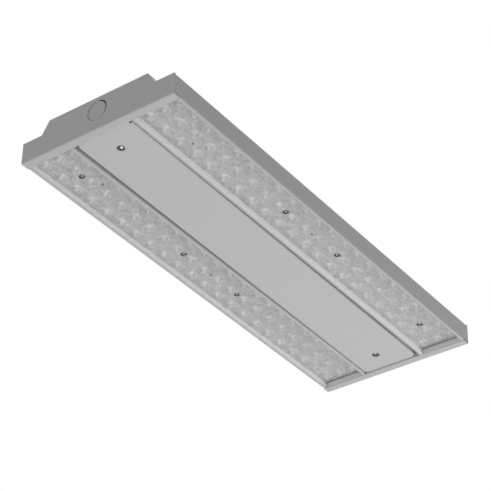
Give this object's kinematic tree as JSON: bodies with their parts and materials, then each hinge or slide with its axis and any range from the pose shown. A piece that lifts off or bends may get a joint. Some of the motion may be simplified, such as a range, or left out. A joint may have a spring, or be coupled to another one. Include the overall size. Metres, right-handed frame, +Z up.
{
  "type": "linear pendant light",
  "caption": "Slim rectangular pendant light of folded grey-coated sheet with a raised ridge, two strips of domed lens plates and a central gear cover.",
  "frame": {"origin": "middle of the bottom face, level with the undersides of the end lips", "axes": "+X along the light from the near end to the far end, +Y towards strip a, +Z up towards the ridge"},
  "size_m": [0.58, 0.204, 0.043],
  "materials": {
    "grey_paint": "fine satin powder coat",
    "clear_lens": "clear moulded",
    "board_white": "matt white solder mask on aluminium",
    "chip": "phosphor",
    "zinc_steel": "zinc plated",
    "bare_aluminium": "satin",
    "terminal_white": "moulded",
    "terminal_dark": "moulded",
    "driver_shell": "satin",
    "brass": "machined",
    "rubber_black": "matt"
  },
  "bodies": {
    "root": {"bracket_rivets": "bare_aluminium", "cable_grommet": "rubber_black", "cover_bracket_far": "zinc_steel", "cover_bracket_near": "zinc_steel", "cover_nuts": "zinc_steel", "cover_screws": "zinc_steel", "driver_base": "driver_shell", "driver_lid": "driver_shell", "driver_screws": "zinc_steel", "driver_terminals": "terminal_white", "earth_nut": "brass", "earth_stud": "zinc_steel", "end_cap_far": "grey_paint", "end_cap_near": "grey_paint", "end_cap_rivets": "bare_aluminium", "feed_terminals": "terminal_dark", "gear_cover": "grey_paint", "housing": "grey_paint", "led_board_a_far": "board_white", "led_board_a_near": "board_white", "led_board_b_far": "board_white", "led_board_b_near": "board_white", "led_chips": "chip", "led_tray_a": "grey_paint", "led_tray_b": "grey_paint", "lens_plate_a_far": "clear_lens", "lens_plate_a_near": "clear_lens", "lens_plate_b_far": "clear_lens", "lens_plate_b_near": "clear_lens", "lens_screws": "zinc_steel", "link_connectors": "terminal_dark", "terminal_block": "terminal_white", "terminal_block_screws": "zinc_steel"}
  },
  "joints": []
}
